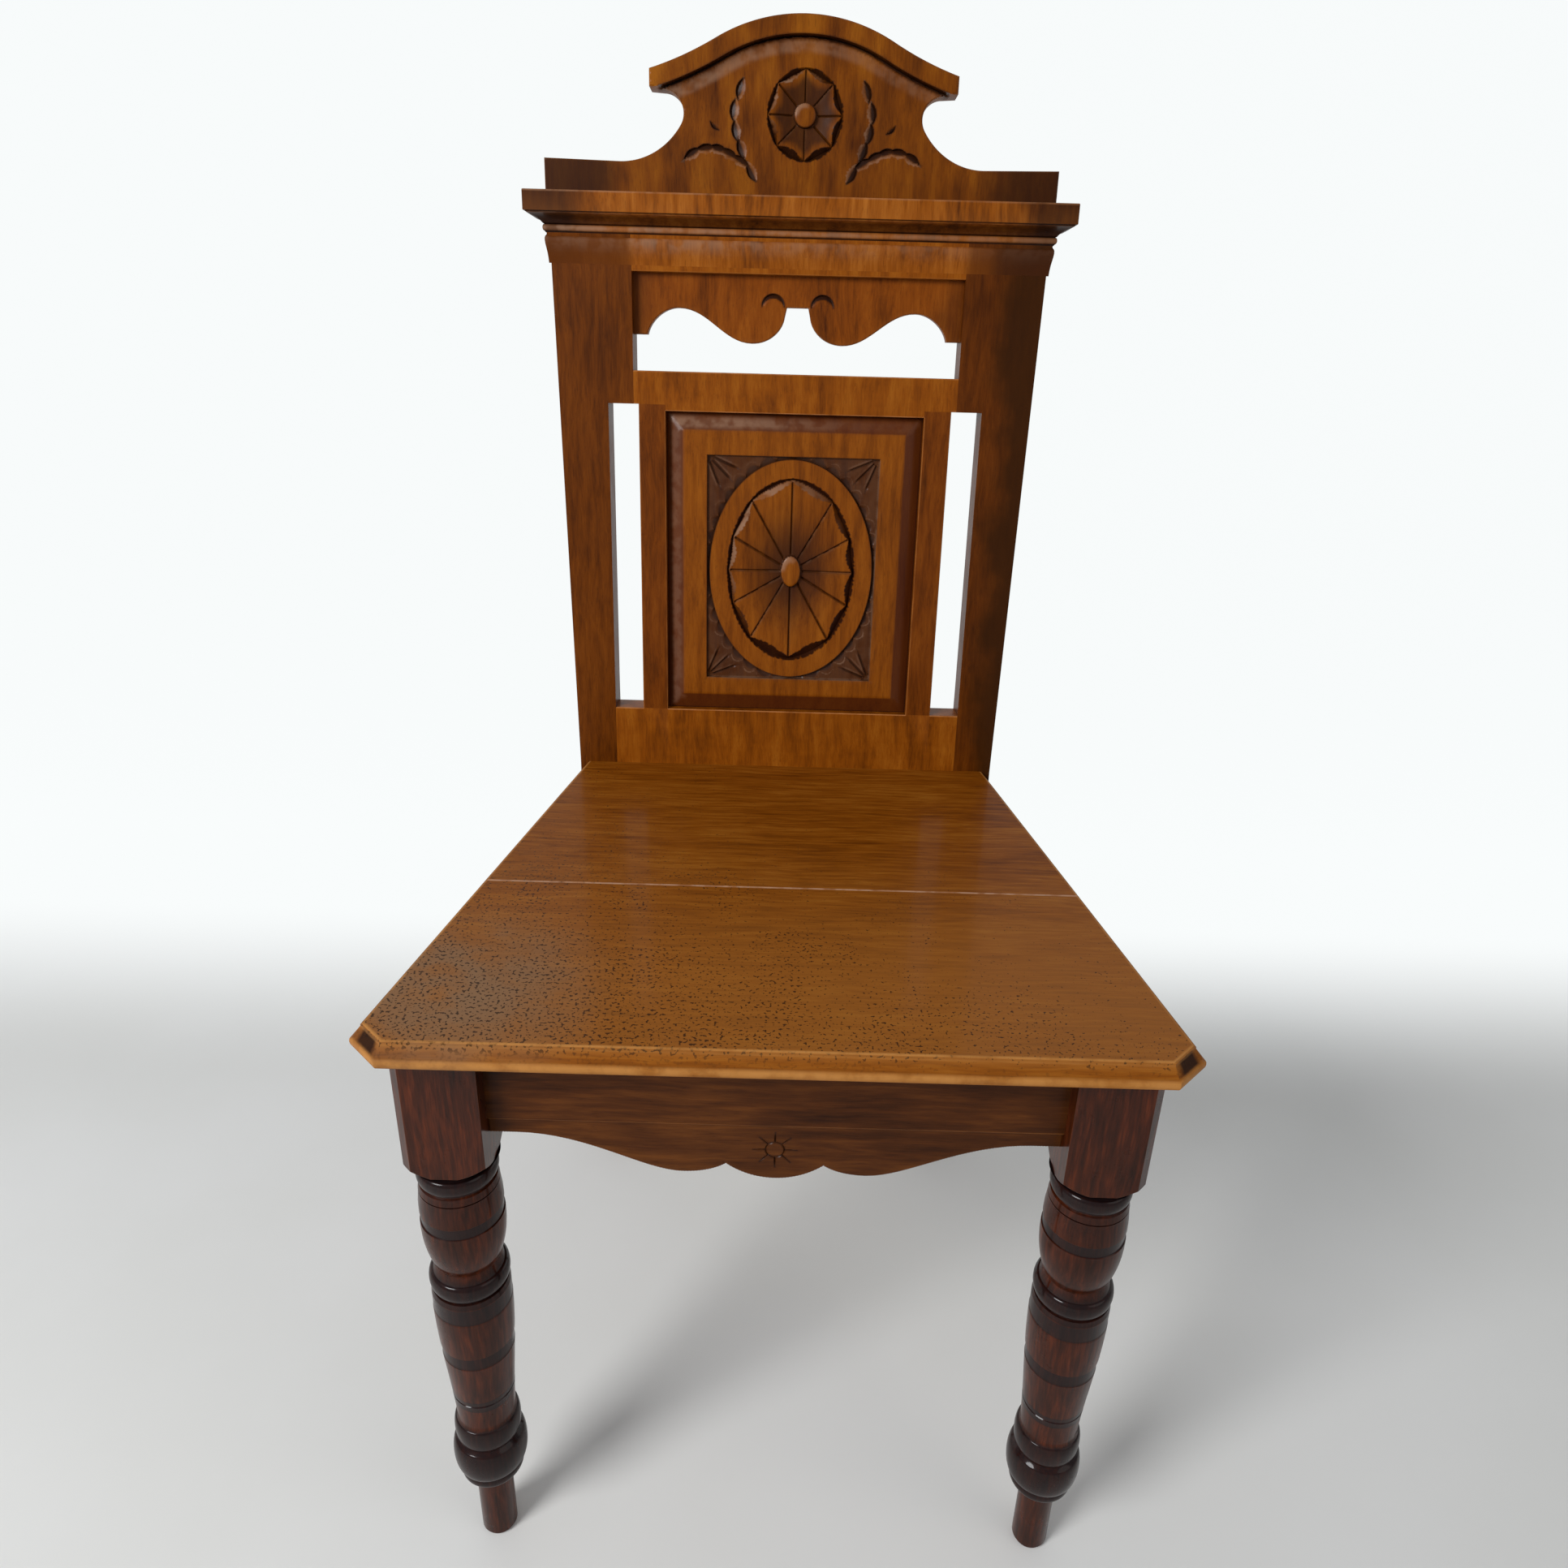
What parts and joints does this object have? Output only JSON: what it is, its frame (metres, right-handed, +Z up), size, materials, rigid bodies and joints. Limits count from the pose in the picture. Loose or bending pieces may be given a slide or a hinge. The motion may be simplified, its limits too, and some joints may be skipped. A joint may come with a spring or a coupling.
{
  "type": "hall chair",
  "caption": "Victorian hall chair in polished solid wood, with turned front legs, a panel back carved with an oval flower, and an arched carved crest.",
  "frame": {"origin": "middle of the chair's footprint box, on the floor under the feet", "axes": "+X to the sitter's left side as seen from the front looking at the back (right in the picture), +Y from the seat's front edge to the back, +Z up"},
  "size_m": [0.472, 0.4718, 0.9933],
  "materials": {
    "mahogany": "dark red-brown, glossy shellac polish",
    "post_walnut": "dark brown, satin shellac polish",
    "seat_walnut": "worn satin shellac polish",
    "back_walnut": "golden brown, glossy shellac polish",
    "panel_walnut": "golden brown, glossy shellac polish, dark in the cuts",
    "block_pine": "bare, aged softwood",
    "dowel_beech": "bare hardwood",
    "screw_steel": "dull steel"
  },
  "bodies": {
    "root": {"front_leg_left": "mahogany", "front_leg_right": "mahogany", "back_post_left": "post_walnut", "back_post_right": "post_walnut", "front_rail": "mahogany", "front_apron": "mahogany", "side_rail_left": "mahogany", "side_rail_right": "mahogany", "rear_seat_rail": "mahogany", "front_corner_block_left": "block_pine", "front_corner_block_right": "block_pine", "rear_corner_block_left": "block_pine", "rear_corner_block_right": "block_pine", "corner_block_screws": "screw_steel", "seat_screws": "screw_steel", "seat_front_board": "seat_walnut", "seat_rear_board": "seat_walnut", "seat_dowels": "dowel_beech", "back_bottom_rail": "back_walnut", "back_middle_rail": "back_walnut", "back_top_rail": "back_walnut", "muntin_left": "back_walnut", "muntin_right": "back_walnut", "back_panel": "panel_walnut", "frieze_board": "back_walnut", "cornice": "back_walnut", "cornice_dowels": "dowel_beech", "crest_board": "back_walnut", "crest_dowels": "dowel_beech"}
  },
  "joints": []
}
